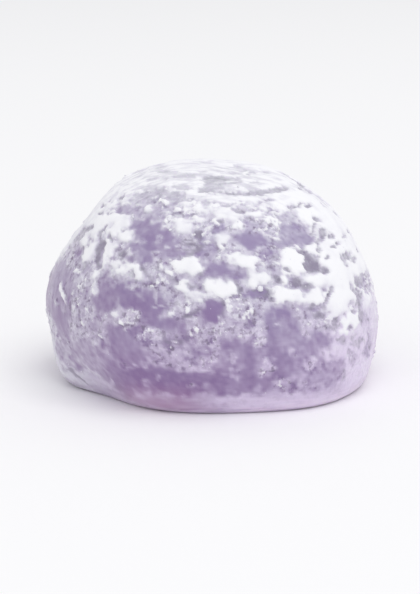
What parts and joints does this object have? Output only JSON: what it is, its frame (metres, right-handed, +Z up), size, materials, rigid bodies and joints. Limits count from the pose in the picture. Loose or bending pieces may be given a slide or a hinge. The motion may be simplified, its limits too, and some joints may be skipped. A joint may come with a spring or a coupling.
{
  "type": "mochi rice cake",
  "caption": "Soft round rice cake with a domed top and a flat foot, dusted with patchy white starch.",
  "frame": {"origin": "on the resting plane, under the middle of the bounding box", "axes": "+Z up from the flat foot to the crown; -Y towards the front, the side seen first; +X to the right seen from the front"},
  "size_m": [0.0504, 0.0504, 0.0326],
  "materials": {
    "dusted_dough": "soft lavender rice dough, slightly translucent, under a thin veil and thick patches of matte white starch"
  },
  "bodies": {
    "root": {"mochi": "dusted_dough"}
  },
  "joints": []
}
